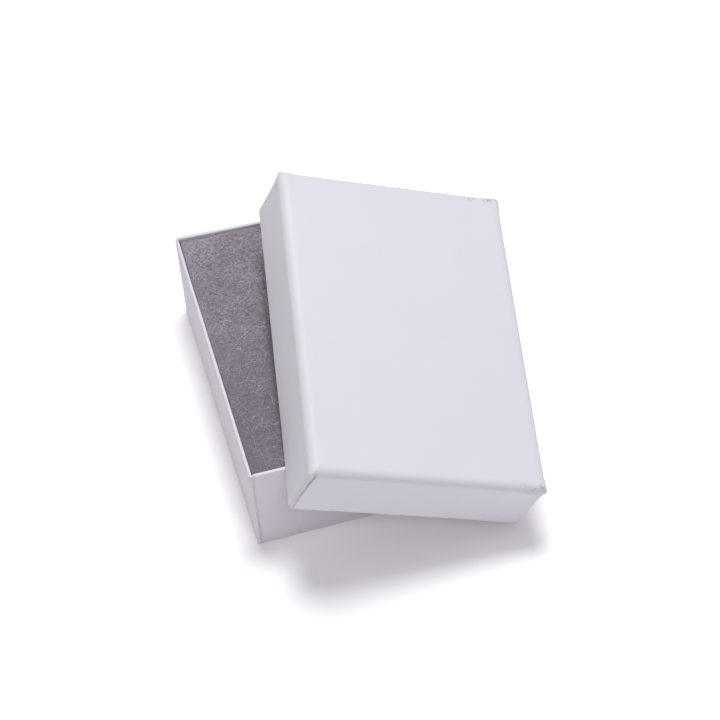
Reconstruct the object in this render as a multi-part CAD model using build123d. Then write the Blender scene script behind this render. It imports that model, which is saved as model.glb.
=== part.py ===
from build123d import *
import os
from dataclasses import dataclass

# A two-piece set-up box for a small jewel: paper-wrapped chipboard tray, cotton-like fibre
# pad, and a shallow slip lid that lies askew on the open tray. Millimetres.
# Origin: centre of the tray's underside. X runs across the width, +Y to the back, +Z up.

# Driving dimensions
base_width = 54.0
base_length = 77.8
base_height = 25.4
lid_depth = 15.8
board = 0.5                # chipboard
paper = 0.09               # wrapping paper
stay_tape = 0.08           # gummed paper tape that holds each corner of the board
slip_fit = 0.45            # play between the closed lid and the base, on each side

# Folds and corners
corner_radius = 0.7        # upright corners, outside
base_fold = 0.8            # bottom edges of the base, outside
lid_fold = 2.0             # top edges of the lid, outside
inner_radius = 0.15        # least radius inside the board
rim_round = 0.2            # where the paper turns over the board's edge
base_turn_in = 10.0        # how far the paper turns in over the rim
lid_turn_in = 8.0
slit = 0.2                 # gap between two walls of the folded board at a corner
stay_leg = 9.0             # how far the tape reaches along each wall
stay_margin = 1.5          # board left bare above and below the tape

# Fibre pad
pad_play = 0.3             # gap to the paper inside the base
pad_lift_off = 0.05        # gap to the board underneath
pad_below_rim = 0.35
pad_corner = 1.2
pad_edge = 0.8

# How the lid lies: the centre of its rim, then its turn about Z, lean to the right and
# nod to the front. It rests with its left skirt on the front rim, its back skirt on the
# right rim, and the inside of its top on the front right corner of the base.
lid_centre = (12.48, -11.75, 21.05)
lid_turn = -5.34
lid_lean = 21.62
lid_nod = 11.80

lining = 2 * paper + board               # a wall where the paper is turned in
lid_growth = 2 * (slip_fit + lining)     # how much longer and wider the lid is


@dataclass
class Tray:
    """One half of the box, standing on its closed side with its mouth up."""
    width: float
    length: float
    height: float
    fold: float
    turn_in: float


base = Tray(base_width, base_length, base_height, base_fold, base_turn_in)
lid = Tray(base_width + lid_growth, base_length + lid_growth, lid_depth, lid_fold, lid_turn_in)


def prism(tray, depth, bottom, top):
    """Upright block whose sides lie the given depth inside the tray's outer faces."""
    corner = max(corner_radius - depth, inner_radius)
    outline = RectangleRounded(tray.width - 2 * depth, tray.length - 2 * depth, corner)
    return Pos(0, 0, bottom) * extrude(outline, amount=top - bottom)


def layer(tray, depth, top):
    """The same block standing on the closed side, with its folded edges rounded."""
    width = tray.width - 2 * depth
    length = tray.length - 2 * depth
    slab = Pos(0, 0, (depth + top) / 2) * Box(width, length, top - depth)
    folds = slab.faces().sort_by(Axis.Z)[0].edges()
    return prism(tray, depth, depth, top) & fillet(folds, max(tray.fold - depth, inner_radius))


def make_wrap(tray):
    """Paper over the outside and the rim, turned in down the inside of the walls."""
    skin = layer(tray, 0, tray.height) - layer(tray, paper, tray.height - paper)
    turned = tray.height - tray.turn_in
    hem = prism(tray, paper + board, turned, tray.height)
    mouth = prism(tray, lining, turned - 1, tray.height + 1)
    wrap = skin + hem - mouth
    rim = wrap.faces().sort_by(Axis.Z)[-1]
    return fillet(rim.edges(), rim_round)


def corner_zone(tray, side, end, reach, bottom, top):
    """A box around one upright corner that reaches the given way along both walls."""
    x = side * (tray.width / 2 - paper)
    y = end * (tray.length / 2 - paper)
    return Pos(x, y, (bottom + top) / 2) * Box(2 * reach, 2 * reach, top - bottom)


def make_stay(tray, side, end):
    """Tape folded round one upright corner, pressed flush into the board."""
    shell = prism(tray, paper, 0, tray.height) - prism(tray, paper + stay_tape, -1, tray.height + 1)
    bottom = paper + board + stay_margin
    top = tray.height - paper - stay_margin
    return shell & corner_zone(tray, side, end, stay_leg, bottom, top)


def make_slit(tray, side, end):
    """The mitred gap between two walls, from the floor of the tray to the rim."""
    floor = paper + board
    x = side * (tray.width / 2 - floor)
    y = end * (tray.length / 2 - floor)
    tall = tray.height - floor
    blade = Box(4 * board, slit, tall)
    return Pos(x, y, floor + tall / 2) * Rot(0, 0, 45 * side * end) * blade


def make_board(tray, stays):
    """One scored blank folded up into a floor and four walls."""
    shape = layer(tray, paper, tray.height - paper) - layer(tray, paper + board, tray.height)
    for side in (-1, 1):
        for end in (-1, 1):
            shape -= make_slit(tray, side, end)
    for stay in stays.values():
        shape -= stay
    return shape


def make_pad():
    """Block of non-woven fibre filling the tray almost to the rim."""
    width = base_width - 2 * (lining + pad_play)
    length = base_length - 2 * (lining + pad_play)
    bottom = paper + board + pad_lift_off
    top = base_height - pad_below_rim
    shape = extrude(RectangleRounded(width, length, pad_corner), amount=top - bottom)
    upper = shape.faces().sort_by(Axis.Z)[-1].edges()
    return Pos(0, 0, bottom) * fillet(upper, pad_edge)


def place_lid(shape):
    """Turns a tray mouth down and lays it askew on the base."""
    closed = Pos(0, 0, lid_depth) * mirror(shape, about=Plane.XY)
    return Pos(*lid_centre) * Rot(0, 0, lid_turn) * Rot(0, lid_lean, 0) * Rot(lid_nod, 0, 0) * closed


def make_half(name, tray):
    """The named pieces of one half of the box."""
    stays = {}
    for side, side_name in ((-1, "left"), (1, "right")):
        for end, end_name in ((-1, "front"), (1, "back")):
            stays[f"{name}_corner_stay_{end_name}_{side_name}"] = make_stay(tray, side, end)
    pieces = {f"{name}_board": make_board(tray, stays), f"{name}_wrap": make_wrap(tray)}
    return pieces | stays


parts = make_half("base", base)
parts["fibre_pad"] = make_pad()
for piece_name, piece in make_half("lid", lid).items():
    parts[piece_name] = place_lid(piece)

os.makedirs("parts", exist_ok=True)
for node_name, shape in parts.items():
    export_step(shape, f"parts/{node_name}.step")
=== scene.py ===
import bmesh
import bpy
import math
import random
from mathutils import Matrix, Vector, noise


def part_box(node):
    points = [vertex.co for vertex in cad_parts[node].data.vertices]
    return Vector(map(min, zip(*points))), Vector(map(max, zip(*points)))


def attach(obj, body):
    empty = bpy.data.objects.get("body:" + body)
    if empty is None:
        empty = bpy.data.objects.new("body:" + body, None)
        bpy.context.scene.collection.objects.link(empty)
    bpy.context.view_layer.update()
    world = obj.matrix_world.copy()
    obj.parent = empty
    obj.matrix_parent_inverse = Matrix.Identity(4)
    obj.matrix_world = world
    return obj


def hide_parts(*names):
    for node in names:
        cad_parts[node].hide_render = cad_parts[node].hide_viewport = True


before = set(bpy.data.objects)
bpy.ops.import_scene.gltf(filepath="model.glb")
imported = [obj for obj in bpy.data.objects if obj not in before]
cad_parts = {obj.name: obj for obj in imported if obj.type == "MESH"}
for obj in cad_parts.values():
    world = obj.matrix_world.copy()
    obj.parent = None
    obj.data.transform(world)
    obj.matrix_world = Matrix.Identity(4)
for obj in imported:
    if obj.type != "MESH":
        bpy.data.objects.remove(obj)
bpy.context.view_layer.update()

mm = 0.001

# ---- Sizes, in metres -------------------------------------------------------------------
# The halves' outlines come from the frame; the sheets they are made of are the design's own.
base_low, base_high = (Vector(c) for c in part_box("base_wrap"))
pad_low, pad_high = (Vector(c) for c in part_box("fibre_pad"))
board = 0.5 * mm
paper = 0.09 * mm
slip_fit = 0.45 * mm
lining = board + 2 * paper             # a wall where the paper is turned in
lid_growth = 2 * (slip_fit + lining)
lid_depth = 15.8 * mm
corner_radius = 0.7 * mm
rim_round = 0.2 * mm
base_fold, lid_fold = 0.8 * mm, 2.0 * mm           # edges of the closed sides
base_turn_in, lid_turn_in = 10.0 * mm, 8.0 * mm    # paper turned in over the rims

# How the lid lies, as in the design: the centre of its rim, a turn, a lean and a nod.
lid_centre = Vector((12.48, -11.75, 21.05)) * mm
lid_turn = math.radians(-5.34)
lid_lean = math.radians(21.62)
lid_nod = math.radians(11.80)

ARC_STEPS = 12                         # facets round an upright corner, an even number
FOLD_STEPS = 6                         # facets round a fold


def smooth(low, high, value):
    """0 at low, 1 at high, and an even turn between them."""
    t = min(max((value - low) / (high - low), 0.0), 1.0)
    return t * t * (3 - 2 * t)


def lie_of_lid():
    """Carries the closed lid, rim at z 0, to where it lies."""
    turn = Matrix.Rotation(lid_turn, 4, "Z")
    lean = Matrix.Rotation(lid_lean, 4, "Y")
    nod = Matrix.Rotation(lid_nod, 4, "X")
    mouth_down = Matrix.Translation((0, 0, lid_depth)) @ Matrix.Diagonal((1, 1, -1, 1))
    return Matrix.Translation(lid_centre) @ turn @ lean @ nod @ mouth_down


# ---- Mesh of a rounded rectangle built up in rings --------------------------------------

def spread(length, count, extra=()):
    """Places along a straight side, closer together towards its ends."""
    crowding = 0.62
    places = []
    for i in range(count + 1):
        u = 2 * i / count - 1
        places.append(length / 2 * ((1 - crowding) * u + crowding * math.sin(u * math.pi / 2)))
    for e in extra:
        places += [length / 2 - e, e - length / 2]
    places.sort()
    kept = [places[0]]
    for p in places[1:]:
        if p - kept[-1] > 0.012 * mm:
            kept.append(p)
    return kept


class Outline:
    """A rounded rectangle whose insets share their points."""

    def __init__(self, width, length, radius, across, along, extra=()):
        self.radius = radius
        self.half_x, self.half_y = width / 2, length / 2
        self.xs = spread(width - 2 * radius, across, extra)
        self.ys = spread(length - 2 * radius, along)
        last_x, last_y = len(self.xs) - 1, len(self.ys) - 1
        sides = (
            ([(i, 0) for i in range(last_x)], (0, -1), (last_x, 0), -math.pi / 2),
            ([(last_x, j) for j in range(last_y)], (1, 0), (last_x, last_y), 0),
            ([(i, last_y) for i in range(last_x, 0, -1)], (0, 1), (0, last_y), math.pi / 2),
            ([(0, j) for j in range(last_y, 0, -1)], (-1, 0), (0, 0), math.pi),
        )
        self.loop = []                 # (grid place, outward direction) all the way round
        for places, facing, corner, start in sides:
            self.loop += [(place, facing) for place in places]
            for s in range(ARC_STEPS + 1):
                a = start + math.pi / 2 * s / ARC_STEPS
                self.loop.append((corner, (math.cos(a), math.sin(a))))

    def squeeze(self, inset):
        """How much an inset deeper than the corners' curve shortens the straight sides."""
        deeper = max(inset - self.radius, 0)
        return (1 - deeper / (self.half_x - self.radius), 1 - deeper / (self.half_y - self.radius))

    def ring(self, inset, square):
        """(x, y, outward x, outward y) round one inset; a square one keeps sharp corners."""
        reach = self.radius if square else max(self.radius - inset, 0)
        sx, sy = self.squeeze(inset)
        limit_x, limit_y = self.half_x - inset, self.half_y - inset
        found = []
        for (i, j), (dx, dy) in self.loop:
            x, y = self.xs[i] * sx + dx * reach, self.ys[j] * sy + dy * reach
            if square:
                beyond_x, beyond_y = abs(x) > limit_x - 1e-9, abs(y) > limit_y - 1e-9
                x = math.copysign(min(abs(x), limit_x), x)
                y = math.copysign(min(abs(y), limit_y), y)
                if beyond_x and beyond_y:
                    dx, dy = math.copysign(0.7071, x), math.copysign(0.7071, y)
                elif beyond_x or beyond_y:
                    dx, dy = math.copysign(beyond_x, x), math.copysign(beyond_y, y)
            found.append((x, y, dx, dy))
        return found


class Sheet:
    """Points, outward normals and faces of a surface, before it is bent out of true."""

    def __init__(self):
        self.points, self.normals, self.faces = [], [], []

    def add(self, point, normal):
        self.points.append(Vector(point))
        self.normals.append(Vector(normal))
        return len(self.points) - 1


def panel(sheet, outline, inset, z, up):
    """The flat middle of a closed side; gives the index of each grid point."""
    grid = {}
    sx, sy = outline.squeeze(inset)
    for i, x in enumerate(outline.xs):
        for j, y in enumerate(outline.ys):
            grid[i, j] = sheet.add((x * sx, y * sy, z), (0, 0, up))
    for i in range(len(outline.xs) - 1):
        for j in range(len(outline.ys) - 1):
            face = [grid[i, j], grid[i + 1, j], grid[i + 1, j + 1], grid[i, j + 1]]
            sheet.faces.append(face if up > 0 else face[::-1])
    return [grid[place] for place, _ in outline.loop]


def join(sheet, lower, upper):
    """Faces between two rings; a corner point shared by several facets gives triangles."""
    count = len(lower)
    for i in range(count):
        j = (i + 1) % count
        loop = [lower[i], lower[j], upper[j], upper[i]]
        face = [v for n, v in enumerate(loop) if v != loop[n - 1]]
        if len(face) > 2:
            sheet.faces.append(face)


def build(sheet, outline, profile, start_z, end_z=None):
    """Panel at start_z, then the profile's rings, then a panel at end_z if there is one."""
    last = panel(sheet, outline, profile[0][0], start_z, -1)
    for inset, z, out, up, square in profile:
        new = [sheet.add((x, y, z), (dx * out, dy * out, up))
               for x, y, dx, dy in outline.ring(inset, square)]
        join(sheet, last, new)
        last = new
    if end_z is not None:
        join(sheet, last, panel(sheet, outline, profile[-1][0], end_z, 1))


def tray_profile(height, fold, turn_in, wall_steps):
    """Rings from the closed side over the fold, up the wall, over the rim and down inside."""
    rings = []
    for s in range(FOLD_STEPS + 1):
        a = math.pi / 2 * s / FOLD_STEPS
        rings.append((fold * (1 - math.sin(a)), fold * (1 - math.cos(a)),
                      math.sin(a), -math.cos(a), True))
    run = height - rim_round - fold
    for z in spread(run, wall_steps)[1:]:
        rings.append((0, fold + run / 2 + z, 1, 0, False))
    for s in range(1, 4):
        a = math.pi / 2 * s / 3
        rings.append((rim_round * (1 - math.cos(a)), height - rim_round * (1 - math.sin(a)),
                      math.cos(a), math.sin(a), False))
    rings.append((lining / 2, height, 0, 1, False))
    for s in range(4):
        a = math.pi / 2 * s / 3
        rings.append((lining - rim_round * (1 - math.sin(a)), height - rim_round * (1 - math.cos(a)),
                      -math.sin(a), math.cos(a), False))
    run = turn_in - rim_round
    for s in range(1, 13):
        rings.append((lining, height - rim_round - run * s / 12, -1, 0, False))
    return rings


def mesh_object(name, sheet, place, mirrored=False):
    """A smooth-shaded object from a sheet, in the row frame."""
    faces = [f[::-1] for f in sheet.faces] if mirrored else sheet.faces
    mesh = bpy.data.meshes.new(name)
    mesh.from_pydata([place @ p for p in sheet.points], [], faces)
    mesh.polygons.foreach_set("use_smooth", [True] * len(mesh.polygons))
    mesh.update()
    obj = bpy.data.objects.new(name, mesh)
    bpy.context.scene.collection.objects.link(obj)
    return obj


def paint(obj, name, values):
    """A number for each point, which a material reads by its name."""
    layer = obj.data.attributes.new(name, "FLOAT", "POINT")
    layer.data.foreach_set("value", values)


def weld(obj):
    """Joins the points that fall together where a fold is wider than the corner's curve."""
    form = bmesh.new()
    form.from_mesh(obj.data)
    bmesh.ops.remove_doubles(form, verts=form.verts, dist=0.0008 * mm)
    form.to_mesh(obj.data)
    form.free()


def thicken(obj, thickness):
    """Gives a sheet its thickness on the inner side and keeps the result."""
    shell = obj.modifiers.new("thickness", "SOLIDIFY")
    shell.thickness = thickness
    shell.offset = -1
    shell.use_rim = True
    view = bpy.context.evaluated_depsgraph_get()
    solid = bpy.data.meshes.new_from_object(obj.evaluated_get(view))
    obj.modifiers.clear()
    obj.data = solid


# ---- Wrapping paper ---------------------------------------------------------------------

SEAM = 0.12 * mm                       # from the end of a corner's curve to the flap's cut edge
TAB = 9.0 * mm                         # how far a hidden end tab reaches under the flap
TAB_SLOPE = 0.25 * mm                  # half the width of the slope at the tab's end
GROOVE = 0.27 * mm                     # half the width of the step at a cut edge, painted dark for dirt and for the shadow under the flap
DROOP, FLARE = 0.40, 0.25              # millimetres that the lid's front skirt hangs and stands out
GATHER = 0.16                          # rise of a gathered corner, as a share of its fold
CRISP = 0.24                           # rise of the back and right folds, likewise
CORNER_LIFT = 0.9 * mm                 # how far the base's rim stands up at its back left corner
LIFT_ALONG_BACK, LIFT_ALONG_LEFT = 22 * mm, 12 * mm
LIFT_DOWN = 9 * mm                     # how far below the rim the lift fades out


def wander(point, size, seed):
    """Smooth noise from -1 to 1 with features of about the given size."""
    return noise.noise(point / size + Vector((seed, -seed, 0.5 * seed)))


def seam_bow(z, height, seed):
    """How far the cut edge of a flap wanders from a straight line."""
    t = z / height
    return (0.12 * math.sin(2 * math.pi * t + 0.4) + 0.16 * noise.noise(Vector((seed, 5 * t, 0)))) * mm


def past_curve(p, half_x, half_y):
    """Distance along a short wall from the end of a corner's curve, less than 0 on the curve."""
    along = half_x - corner_radius - abs(p.x)
    if along >= 0:
        return along
    across = abs(p.y) - (half_y - corner_radius)
    return -corner_radius * math.atan2(-along, max(across, 0))


def flap_edge(p, height, fold, from_end, mark):
    """Rise of the paper where a flap ends over a tab, and how dark its cut edge is painted, for dirt and
    for the shadow under the lifted flap.
    """
    below_fold = smooth(0.1 * fold, 0.9 * fold, p.z)
    edge = SEAM + seam_bow(p.z, height, mark)
    over_tab = smooth(edge - 0.05 * mm, edge + 0.05 * mm, from_end) * below_fold
    past_tab = smooth(TAB - TAB_SLOPE, TAB + 0.3 * mm, from_end)
    near_edge = math.exp(-((from_end - edge) / GROOVE) ** 2) * below_fold
    lift = math.exp(-max(from_end - edge, 0) / (1.2 * mm)) * over_tab
    rise = paper * over_tab * (1 - 0.75 * past_tab)
    rise += lift * 0.05 * mm * (1 + wander(p, 4 * mm, mark)) - 0.05 * mm * near_edge
    return rise, near_edge


def sag_of_skirt(p, half_x, half_y, height):
    """The lid's front skirt droops and stands out a little, most of all at the left."""
    t = smooth(0, height, p.z)
    to_left = smooth(half_x, -half_x, p.x)
    at_front = smooth(half_y - 9 * mm, half_y, -p.y)
    outside = 1 - smooth(0.2 * lining, 0.8 * lining, half_y + p.y)
    return Vector((0, -FLARE * t * (0.4 + 0.6 * to_left) * outside,
                   DROOP * t * (0.5 + 0.5 * to_left) * at_front)) * mm


def towards_lifted_corner(x, y, half_x, half_y):
    """1 at the back left corner of the base, 0 further off along the back and the left."""
    from_left, from_back = (half_x + x) / LIFT_ALONG_BACK, (half_y - y) / LIFT_ALONG_LEFT
    return max(1 - max(from_left, 0), 0) * max(1 - max(from_back, 0), 0)


def make_wrap(name, width, length, height, fold, turn_in, place, mirrored, seed, flat_side, dents):
    """The paper of one half: folds, flap edges, end tabs, gathered corners and a soft ripple."""
    seam_columns = [i * 0.08 * mm for i in range(1, 7)]
    seam_columns += [TAB - TAB_SLOPE, TAB, TAB + TAB_SLOPE]
    outline = Outline(width, length, corner_radius, 64, 88, seam_columns)
    sheet = Sheet()
    wall_steps = 34 if height > 20 * mm else 28
    build(sheet, outline, tray_profile(height, fold, turn_in, wall_steps), 0)
    half_x, half_y = width / 2, length / 2
    wear, seam_dirt_and_shadow, dent_and_shade_values = [], [], []
    for p, n in zip(sheet.points, sheet.normals):
        mark = seed + 3 * math.copysign(1, p.x) + 7 * math.copysign(1, p.y)
        rise, dark = 0.0, 0.0
        if abs(p.y) > half_y - 1.5 * lining:
            rise, dark = flap_edge(p, height, fold, past_curve(p, half_x, half_y), mark)
        # gathered paper where three folds meet
        corner_gap = Vector((half_x - abs(p.x), half_y - abs(p.y), p.z)).length
        gather = math.exp(-(corner_gap / (1.7 * fold)) ** 2)
        pleat = wander(p, 0.9 * mm, mark)
        rise += gather * (GATHER * fold + 0.07 * pleat * mm)
        # a soft ripple and grain all over, and the small dents, whose shade is painted dark
        ripple = wander(p, 17 * mm, seed) + 0.5 * wander(p, 6 * mm, seed + 9)
        grain = wander(p, 1.6 * mm, seed + 4)
        dent_and_shade = 0.0
        for spot, reach, depth in dents:
            gap = p - Vector((spot[0] * half_x, spot[1] * half_y, 0)) - Vector(spot[2:]) * mm
            gap.x /= 1.7
            dent_and_shade = max(dent_and_shade, depth * math.exp(-(gap.length / (reach * mm)) ** 2))
        rise += (0.04 + 0.04 * ripple + 0.006 * grain) * mm
        # the folds at the back and right are pressed sharper than the others
        crisp = max(smooth(0, 0.8, n.x), smooth(0, 0.8, n.y)) if p.z < fold else 0.0
        rise += crisp * CRISP * fold * (2 * abs(n.z) * n.xy.length) ** 1.5
        rise += dent_and_shade * (0.10 * pleat - 0.05) * mm
        if flat_side and n.z < -0.5:
            rise = min(rise, 0.0)
        p += n.normalized() * rise
        if not flat_side:
            p += sag_of_skirt(p, half_x, half_y, height)
        # how worn the paper is here, and how dark its flap edges are painted for dirt and for the shadow
        # under them
        rim_top = smooth(height - 1.2 * rim_round, height - 0.2 * rim_round, p.z)
        p.z += rim_top * 0.03 * mm * wander(p, 9 * mm, seed + 2)
        if flat_side:
            lifted = towards_lifted_corner(p.x, p.y, half_x, half_y)
            p.z += CORNER_LIFT * lifted * smooth(height - LIFT_DOWN, height, p.z)
        folded = 1 - abs(2 * max(abs(n.x), abs(n.y), abs(n.z)) - 1)
        worn = smooth(0.0, 0.5, folded) * (0.6 + 0.6 * wander(p, 1.1 * mm, seed + 6))
        wear.append(min(max(worn + 0.8 * gather * max(pleat, 0) + 0.25 * rim_top, 0), 1))
        # painted dirt and shadow: the flap edges are darkened, most of all at the front left
        front_left_weight = 1.0 if p.x < 0 and p.y < 0 else 0.2
        fade = 1 - 0.5 * smooth(0.2 * height, height, p.z)
        seam_dirt_and_shadow.append(min(max(front_left_weight * fade * dark * (0.8 + 0.5 * wander(p, 1.5 * mm, mark)), 0), 1))
        dent_and_shade_values.append(dent_and_shade)
    obj = mesh_object(name, sheet, place, mirrored)
    paint(obj, "wear", wear)
    paint(obj, "seam_dirt_and_shadow", seam_dirt_and_shadow)
    paint(obj, "dent_and_shade", dent_and_shade_values)
    weld(obj)
    thicken(obj, paper)
    return obj


# ---- Fibre pad --------------------------------------------------------------------------

PAD_CORNER = 1.0 * mm                  # upright corners
PAD_EDGE, PAD_FOOT = 0.45 * mm, 0.5 * mm           # rounding at the top and at the bottom
PAD_LIFT = 0.7 * mm                    # rise under the base's lifted corner
SIDE_BELT = 1.5 * mm                   # above and below the loose fibres on the cut sides


def pad_top(x, y):
    """Height of the matted top of the pad: lumps, tufts and sunken edges."""
    p = Vector((x, y, 0))
    lumps = 0.13 * wander(p, 13 * mm, 31) + 0.09 * wander(p, 4.5 * mm, 37)
    tufts = 0.07 * wander(p, 1.7 * mm, 41) + 0.04 * wander(p, 0.8 * mm, 43)
    inset = min(pad_high.x - abs(x), pad_high.y - abs(y))
    crown = 0.10 * smooth(0, 4 * mm, inset) - 0.05
    lifted = towards_lifted_corner(x, y, base_high.x, base_high.y)
    return pad_high.z + (lumps + tufts + crown) * mm + PAD_LIFT * lifted


def make_pad():
    """Crowned block of matted fibre with cut sides that pull in a little."""
    size = pad_high - pad_low
    outline = Outline(size.x, size.y, PAD_CORNER, 120, 170)
    profile = []
    for s in range(4):
        a = math.pi / 2 * s / 3
        profile.append((PAD_FOOT * (1 - math.sin(a)), pad_low.z + PAD_FOOT * (1 - math.cos(a)),
                        math.sin(a), -math.cos(a), False))
    low, high = pad_low.z + PAD_FOOT, pad_high.z - PAD_EDGE
    for s in range(1, 25):
        profile.append((0, low + (high - low) * s / 24, 1, 0, False))
    for s in range(1, 7):
        a = math.pi / 2 * s / 6
        profile.append((PAD_EDGE * (1 - math.cos(a)), high + PAD_EDGE * math.sin(a),
                        math.cos(a), math.sin(a), False))
    sheet = Sheet()
    build(sheet, outline, profile, pad_low.z, pad_high.z)
    tufts, painted_light_to_back = [], []
    for p, n in zip(sheet.points, sheet.normals):
        # painted light: the fill's colour is made lighter towards the back, standing in for light that
        # falls more strongly there than at the front
        to_back = smooth(-0.9 * pad_high.y, pad_high.y, p.y)
        painted_light_to_back.append(0.92 * to_back * (0.8 + 0.5 * wander(p, 8 * mm, 61)))
        sideways = n.xy.length
        middle = math.sin(math.pi * smooth(pad_low.z, pad_high.z, p.z))
        rough = wander(p, 6 * mm, 51) + 0.6 * wander(p, 1.8 * mm, 53)
        fluff = smooth(pad_high.z - 3 * mm, pad_high.z - 0.3 * mm, p.z)
        pull = sideways * (0.22 * middle + 0.10 * (1 + rough) - 0.30 * fluff) * mm
        p -= Vector((n.x, n.y, 0)) * pull
        if n.z > 0.02:
            lift = smooth(0, 1, n.z)
            p.z += lift * (pad_top(p.x, p.y) - pad_high.z)
        # painted shade: a number in patches the size of the tufts, which darkens the fill in the hollows
        # between them
        tufts.append(0.5 + 0.5 * wander(p, 0.8 * mm, 43))
    pad = mesh_object("fibre_pad_fill", sheet, Matrix.Identity(4))
    paint(pad, "tuft_hollow_shade", tufts)
    paint(pad, "painted_light_to_back", painted_light_to_back)
    return pad


def strand(rng, start, heading, length, radius, height_at, steps):
    """Points along one curly fibre that lies on a surface given by height_at."""
    curl = rng.uniform(-1.0, 1.0) / (0.9 * mm)
    drift = rng.uniform(-1.0, 1.0) / (0.9 * mm)
    arch = rng.uniform(0.02, 0.28) * mm
    phase = rng.uniform(0, math.tau)
    x, y = start
    step = length / steps
    points = []
    for s in range(steps + 1):
        t = s / steps
        lift = arch * math.sin(math.pi * t) * (0.6 + 0.4 * math.sin(3 * math.pi * t + phase))
        points.append(Vector((x, y, height_at(x, y) + 0.3 * radius + lift)))
        turn = (curl * (1 - t) + drift * t) * step + rng.uniform(-0.25, 0.25)
        heading += turn
        x += math.cos(heading) * step
        y += math.sin(heading) * step
    return points


def tubes(name, strands):
    """Three-sided tubes along many lines, as one mesh."""
    points, faces = [], []
    for line, radius in strands:
        first = len(points)
        for k, p in enumerate(line):
            ahead = line[min(k + 1, len(line) - 1)] - line[max(k - 1, 0)]
            side = ahead.cross(Vector((0, 0, 1)))
            if side.length < 1e-9:
                side = ahead.orthogonal()
            side.normalize()
            up = side.cross(ahead).normalized()
            thin = radius * (0.45 if k in (0, len(line) - 1) else 1)
            for m in range(3):
                a = math.tau * m / 3
                points.append(p + (side * math.cos(a) + up * math.sin(a)) * thin)
        for k in range(len(line) - 1):
            a = first + 3 * k
            for m in range(3):
                n = (m + 1) % 3
                faces.append((a + m, a + n, a + 3 + n, a + 3 + m))
        last = len(points) - 3
        faces.append((first + 2, first + 1, first))
        faces.append((last, last + 1, last + 2))
    mesh = bpy.data.meshes.new(name)
    mesh.from_pydata(points, [], faces)
    mesh.polygons.foreach_set("use_smooth", [True] * len(mesh.polygons))
    obj = bpy.data.objects.new(name, mesh)
    bpy.context.scene.collection.objects.link(obj)
    return obj


def make_top_fibres(name, count, radius, seed):
    """Curly fibres matted over the top of the pad, fewer towards the front."""
    rng = random.Random(seed)
    reach_x, reach_y = pad_high.x - 0.15 * mm, pad_high.y - 0.15 * mm
    lines = []
    while len(lines) < count:
        start = (rng.uniform(-reach_x, reach_x), rng.uniform(-reach_y, reach_y))
        length = rng.uniform(2.0, 7.0) * mm
        line = strand(rng, start, rng.uniform(0, math.tau), length, radius, pad_top, 10)
        sparse = rng.random() > 0.25 + 0.75 * smooth(-0.8 * reach_y, 0.8 * reach_y, start[1])
        if not sparse and all(abs(p.x) < reach_x and abs(p.y) < reach_y for p in line):
            lines.append((line, radius * rng.uniform(0.7, 1.25)))
    return tubes(name, lines)


def make_side_fibres(name, count, radius, seed):
    """Shorter fibres along the four cut sides of the pad."""
    rng = random.Random(seed)
    lines = []
    low, high = pad_low.z + SIDE_BELT, pad_high.z - SIDE_BELT
    for _ in range(count):
        long_side = rng.random() < 0.6
        sign = rng.choice((-1, 1))
        reach = (pad_high.y if long_side else pad_high.x) - 3.5 * mm
        wall = (pad_high.x if long_side else pad_high.y) - 0.22 * mm
        place = (rng.uniform(-reach, reach), rng.uniform(low, high))
        line = strand(rng, place, rng.uniform(0, math.tau), rng.uniform(2, 6) * mm, radius,
                      lambda u, v: 0.0, 9)
        shaped = []
        for p in line:
            u = min(max(p.x, -reach - 1 * mm), reach + 1 * mm)
            v = min(max(p.y, low), high)
            out = wall - 0.32 * mm * math.sin(math.pi * smooth(pad_low.z, pad_high.z, v)) + 0.5 * p.z
            shaped.append(Vector((sign * out, u, v)) if long_side else Vector((u, sign * out, v)))
        lines.append((shaped, radius))
    return tubes(name, lines)


# ---- Materials --------------------------------------------------------------------------

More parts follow.
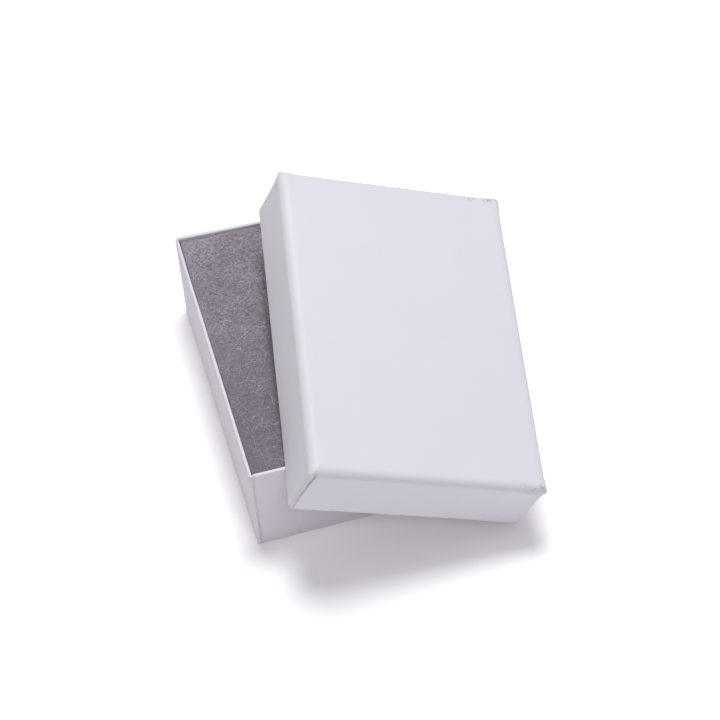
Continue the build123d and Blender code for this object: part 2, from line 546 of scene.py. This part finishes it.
class Nodes:
    """Short calls for the node trees below."""

    def __init__(self, name):
        self.material = bpy.data.materials.new(name)
        self.material.use_nodes = True
        self.tree = self.material.node_tree
        self.shader = self.tree.nodes["Principled BSDF"]
        coordinates = self.tree.nodes.new("ShaderNodeTexCoord")
        self.place = coordinates.outputs["Object"]

    def link(self, a, b):
        self.tree.links.new(a, b)

    def noise(self, size, detail=3.0, roughness=0.55, stretch=None):
        """Noise with features of about the given size in metres."""
        node = self.tree.nodes.new("ShaderNodeTexNoise")
        node.inputs["Scale"].default_value = 1 / size
        node.inputs["Detail"].default_value = detail
        node.inputs["Roughness"].default_value = roughness
        source = self.place
        if stretch:
            mapping = self.tree.nodes.new("ShaderNodeMapping")
            mapping.inputs["Scale"].default_value = stretch
            self.link(self.place, mapping.inputs["Vector"])
            source = mapping.outputs["Vector"]
        self.link(source, node.inputs["Vector"])
        return node.outputs["Fac"]

    def ramp(self, value, low, high, start=0.0, end=1.0):
        node = self.tree.nodes.new("ShaderNodeMapRange")
        node.interpolation_type = "SMOOTHSTEP"
        for key, number in (("From Min", low), ("From Max", high), ("To Min", start), ("To Max", end)):
            node.inputs[key].default_value = number
        self.link(value, node.inputs["Value"])
        return node.outputs["Result"]

    def attribute(self, name):
        node = self.tree.nodes.new("ShaderNodeAttribute")
        node.attribute_name = name
        return node.outputs["Fac"]

    def math(self, kind, a, b):
        node = self.tree.nodes.new("ShaderNodeMath")
        node.operation = kind
        for socket, value in zip(node.inputs, (a, b)):
            if isinstance(value, (int, float)):
                socket.default_value = value
            else:
                self.link(value, socket)
        return node.outputs["Value"]

    def mix(self, factor, a, b):
        """Colour a where factor is 0, colour b where it is 1."""
        node = self.tree.nodes.new("ShaderNodeMix")
        node.data_type = "RGBA"
        self.link(factor, node.inputs["Factor"])
        for key, value in (("A", a), ("B", b)):
            socket = [s for s in node.inputs if s.name == key and s.type == "RGBA"][0]
            if isinstance(value, tuple):
                socket.default_value = (*value, 1)
            else:
                self.link(value, socket)
        return [s for s in node.outputs if s.type == "RGBA"][0]

    def bump(self, height, distance, strength, under=None):
        node = self.tree.nodes.new("ShaderNodeBump")
        node.inputs["Strength"].default_value = strength
        node.inputs["Distance"].default_value = distance
        self.link(height, node.inputs["Height"])
        if under:
            self.link(under, node.inputs["Normal"])
        return node.outputs["Normal"]

    def finish(self, colour, roughness, normal):
        self.link(colour, self.shader.inputs["Base Color"])
        self.link(roughness, self.shader.inputs["Roughness"])
        self.link(normal, self.shader.inputs["Normal"])
        return self.material


def white_paper(name, seam_dirt_and_shadow_strength, white):
    """Coated white wrapping paper: fine tooth, faint fibres, flap edges painted dark for dirt and for the
    shadow under them, worn folds.
    """
    n = Nodes(name)
    cloud = n.ramp(n.noise(14 * mm, 2), 0.30, 0.70)
    tooth = n.noise(0.16 * mm, 4, 0.6)
    fibre = n.noise(0.5 * mm, 3, 0.6, (1, 0.25, 1))
    breakup = n.ramp(n.noise(0.7 * mm, 3, 0.6), 0.38, 0.58)
    colour = n.mix(cloud, tuple(0.993 * c for c in white), tuple(1.007 * c for c in white))
    colour = n.mix(n.ramp(fibre, 0.60, 0.78, 0, 0.22), colour, (0.70, 0.675, 0.74))
    colour = n.mix(n.math("MULTIPLY", n.attribute("wear"), 0.20), colour, (0.62, 0.60, 0.62))
    # painted shade: blue-grey spots in the small dents and creases, broken up
    dent_and_shade = n.math("MULTIPLY", n.attribute("dent_and_shade"), breakup)
    colour = n.mix(dent_and_shade, colour, (0.27, 0.28, 0.34))
    # painted dirt and shadow along the flap's cut edge
    colour = n.mix(n.math("MULTIPLY", n.attribute("seam_dirt_and_shadow"), seam_dirt_and_shadow_strength), colour, (0.17, 0.155, 0.165))
    roughness = n.ramp(tooth, 0.3, 0.7, 0.50, 0.64)
    normal = n.bump(n.noise(2.2 * mm, 3), 0.03 * mm, 0.30)
    normal = n.bump(tooth, 0.015 * mm, 0.30, normal)
    n.shader.inputs["Specular IOR Level"].default_value = 0.26
    return n.finish(colour, roughness, normal)


def chipboard():
    """Uncoated grey board made from waste paper, flecked with darker and lighter bits."""
    n = Nodes("chipboard")
    cloud = n.ramp(n.noise(6 * mm, 5), 0.3, 0.7)
    fleck = n.noise(0.35 * mm, 2, 0.5, (1, 0.45, 1))
    colour = n.mix(cloud, (0.50, 0.47, 0.44), (0.58, 0.555, 0.52))
    colour = n.mix(n.ramp(fleck, 0.64, 0.72, 0, 0.7), colour, (0.26, 0.24, 0.23))
    colour = n.mix(n.ramp(fleck, 0.34, 0.26, 0, 0.6), colour, (0.72, 0.70, 0.67))
    roughness = n.ramp(fleck, 0.3, 0.7, 0.82, 0.95)
    normal = n.bump(n.noise(0.22 * mm, 4, 0.65, (1, 0.5, 1)), 0.04 * mm, 0.5)
    n.shader.inputs["Specular IOR Level"].default_value = 0.25
    return n.finish(colour, roughness, normal)


def stay_tape():
    """Brown gummed paper with a machine-made grain."""
    n = Nodes("stay_tape")
    grain = n.noise(0.3 * mm, 4, 0.6, (1, 1, 0.2))
    colour = n.mix(n.ramp(grain, 0.35, 0.65), (0.42, 0.28, 0.16), (0.53, 0.38, 0.23))
    roughness = n.ramp(grain, 0.3, 0.7, 0.6, 0.75)
    return n.finish(colour, roughness, n.bump(grain, 0.02 * mm, 0.4))


def fibre_fill():
    """Matted grey fibre: dark pits, painted shade between tufts, a web of finer fibres, and painted light
    that makes it lighter towards the back.
    """
    n = Nodes("fibre_fill")
    patches = n.ramp(n.noise(5 * mm, 4), 0.3, 0.7)
    pits = n.ramp(n.noise(0.30 * mm, 4, 0.65), 0.36, 0.60)
    web = n.noise(0.22 * mm, 3, 0.6)
    colour = n.mix(patches, (0.150, 0.132, 0.157), (0.186, 0.166, 0.195))
    # painted light: lighter towards the back of the pad
    colour = n.mix(n.attribute("painted_light_to_back"), colour, (0.42, 0.38, 0.44))
    colour = n.mix(pits, (0.140, 0.121, 0.146), colour)
    colour = n.mix(n.ramp(web, 0.50, 0.66, 0, 0.50), colour, (0.46, 0.42, 0.49))
    # painted shade: darker in the hollows between tufts
    colour = n.mix(n.ramp(n.attribute("tuft_hollow_shade"), 0.25, 0.6, 0.25, 0), colour, (0.14, 0.12, 0.145))
    roughness = n.ramp(web, 0.3, 0.7, 0.85, 1.0)
    normal = n.bump(n.noise(0.6 * mm, 5, 0.7), 0.20 * mm, 0.5)
    normal = n.bump(web, 0.12 * mm, 0.7, normal)
    n.shader.inputs["Specular IOR Level"].default_value = 0.2
    n.shader.inputs["Sheen Weight"].default_value = 0.15
    return n.finish(colour, roughness, normal)


def fibre_strands(name, dark, light):
    """Single fibres, a little uneven along their length."""
    n = Nodes(name)
    along = n.noise(0.9 * mm, 2)
    colour = n.mix(n.ramp(along, 0.35, 0.65), dark, light)
    roughness = n.ramp(along, 0.3, 0.7, 0.6, 0.75)
    n.shader.inputs["Sheen Weight"].default_value = 0.2
    return n.finish(colour, roughness, n.bump(along, 0.01 * mm, 0.3))


def dress(obj, material):
    """The object shows this material only."""
    obj.data.materials.clear()
    obj.data.materials.append(material)


def repaint(node, material):
    """A CAD node keeps its shape and shows this material."""
    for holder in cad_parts[node].material_slots:
        holder.material = material


# ---- Pieces -----------------------------------------------------------------------------

# Each dent, whose shade is painted dark: the side and end of the half that it is measured from, its place
# from that corner of the closed side (right, back, towards the rim), its reach, all in millimetres,
# and how dark its painted shade is.
base_dents = [((-1, 1, 0.75, -1.3, 25.0), 0.5, 0.8)]
lid_dents = [
    ((1, 1, -2.9, -0.9, 0.3), 0.55, 1.0),
    ((1, 1, -7.6, -0.9, 0.3), 0.60, 0.6),
    ((1, 1, -0.5, -0.6, 0.3), 0.45, 0.7),
    ((1, -1, -0.9, 0.9, 0.4), 0.45, 0.7),
    ((1, -1, -2.4, 0.4, 0.6), 0.40, 0.7),
    ((1, -1, -3.8, 0.3, 0.8), 0.35, 0.5),
    ((1, -1, -5.3, 0.8, 0.3), 0.35, 0.5),
    ((1, -1, -1.0, 2.9, 0.1), 0.30, 0.5),
]

size = base_high - base_low
base_paper = make_wrap("base_paper", size.x, size.y, size.z, base_fold, base_turn_in,
                       Matrix.Translation((0, 0, base_low.z)), False, 11, True, base_dents)
dress(base_paper, white_paper("base_paper_look", 0.35, (0.752, 0.722, 0.782)))
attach(base_paper, "base")
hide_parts("base_wrap")

lid_paper = make_wrap("lid_paper", size.x + lid_growth, size.y + lid_growth, lid_depth, lid_fold,
                      lid_turn_in, lie_of_lid(), True, 23, False, lid_dents)
dress(lid_paper, white_paper("lid_paper_look", 0.68, (0.757, 0.737, 0.795)))
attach(lid_paper, "lid")
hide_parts("lid_wrap")

pad = make_pad()
dress(pad, fibre_fill())
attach(pad, "pad")
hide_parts("fibre_pad")

pale = fibre_strands("pale_fibre", (0.48, 0.44, 0.51), (0.72, 0.68, 0.76))
dull = fibre_strands("dull_fibre", (0.27, 0.24, 0.28), (0.38, 0.34, 0.40))
for name, count, radius, seed, look in (
    ("pad_pale_fibres", 2600, 0.030 * mm, 101, pale),
    ("pad_dull_fibres", 1800, 0.040 * mm, 202, dull),
):
    fibres = make_top_fibres(name, count, radius, seed)
    dress(fibres, look)
    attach(fibres, "pad")
side_fibres = make_side_fibres("pad_side_fibres", 1100, 0.045 * mm, 303)
dress(side_fibres, pale)
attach(side_fibres, "pad")

board_look, tape_look = chipboard(), stay_tape()
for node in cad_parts:
    if node.endswith("_board"):
        repaint(node, board_look)
    elif "corner_stay" in node:
        repaint(node, tape_look)


# ---- Floor, light and camera ------------------------------------------------------------

FLOOR_GLOW = 0.13                      # light that the floor gives off by itself
WORLD_LIGHT = 0.22
LIGHT_TARGET = (0, 0, 0)
LIGHTS = (                             # name, place in metres, width, power, colour
    ("key", (0.08, 0.19, 1.0), 0.4, 7.2, (1.0, 0.995, 1.0)),
    ("side", (-0.55, 0.0, 0.85), 0.5, 0.35, (1.0, 0.98, 0.99)),
    ("front", (0.05, -0.64, 0.80), 0.4, 1.55, (1.0, 0.98, 0.99)),
)


def make_floor():
    """A white floor that glows a little, so that shadows on it stay faint."""
    bpy.ops.mesh.primitive_plane_add(size=6, location=(0, 0, -0.2 * mm))
    floor = bpy.context.object
    floor.name = "floor"
    n = Nodes("floor")
    tone = n.mix(n.ramp(n.noise(200 * mm), 0.3, 0.7), (0.960, 0.960, 0.965), (0.975, 0.975, 0.98))
    rough = n.ramp(n.noise(4 * mm), 0.3, 0.7, 0.8, 0.9)
    n.shader.inputs["Emission Color"].default_value = (1, 0.93, 0.97, 1)
    n.shader.inputs["Emission Strength"].default_value = FLOOR_GLOW
    dress(floor, n.finish(tone, rough, n.bump(n.noise(1 * mm), 0.02 * mm, 0.1)))


def area_light(name, place, width, power, colour):
    """A round soft light that faces the box."""
    data = bpy.data.lights.new(name, "AREA")
    data.shape = "DISK"
    data.size = width
    data.energy = power
    data.color = colour
    lamp = bpy.data.objects.new(name, data)
    lamp.location = place
    lamp.rotation_euler = (Vector(LIGHT_TARGET) - Vector(place)).to_track_quat("-Z", "Y").to_euler()
    bpy.context.scene.collection.objects.link(lamp)


def make_camera():
    """Looks down on the front left, from beyond arm's length, tipped a little."""
    aim = Vector((6.0, -12.8, 25.4)) * mm
    distance = 507.8 * mm
    azimuth = math.radians(-12.34)
    height = math.radians(48.84)
    roll = math.radians(-4.18)
    back = Vector((math.sin(azimuth) * math.cos(height), -math.cos(azimuth) * math.cos(height),
                   math.sin(height)))
    data = bpy.data.cameras.new("camera")
    data.lens = 108.71
    data.sensor_width = 36
    data.clip_start = 0.01
    camera = bpy.data.objects.new("camera", data)
    look = (-back).to_track_quat("-Z", "Y").to_matrix().to_4x4()
    camera.matrix_world = Matrix.Translation(aim + back * distance) @ look @ Matrix.Rotation(roll, 4, "Z")
    bpy.context.scene.collection.objects.link(camera)
    bpy.context.scene.camera = camera


make_floor()
for light in LIGHTS:
    area_light(*light)
world = bpy.data.worlds.new("studio")
world.use_nodes = True
world.node_tree.nodes["Background"].inputs["Color"].default_value = (0.96, 0.95, 1.0, 1)
world.node_tree.nodes["Background"].inputs["Strength"].default_value = WORLD_LIGHT
bpy.context.scene.world = world
bpy.context.scene.view_settings.view_transform = "Standard"
make_camera()
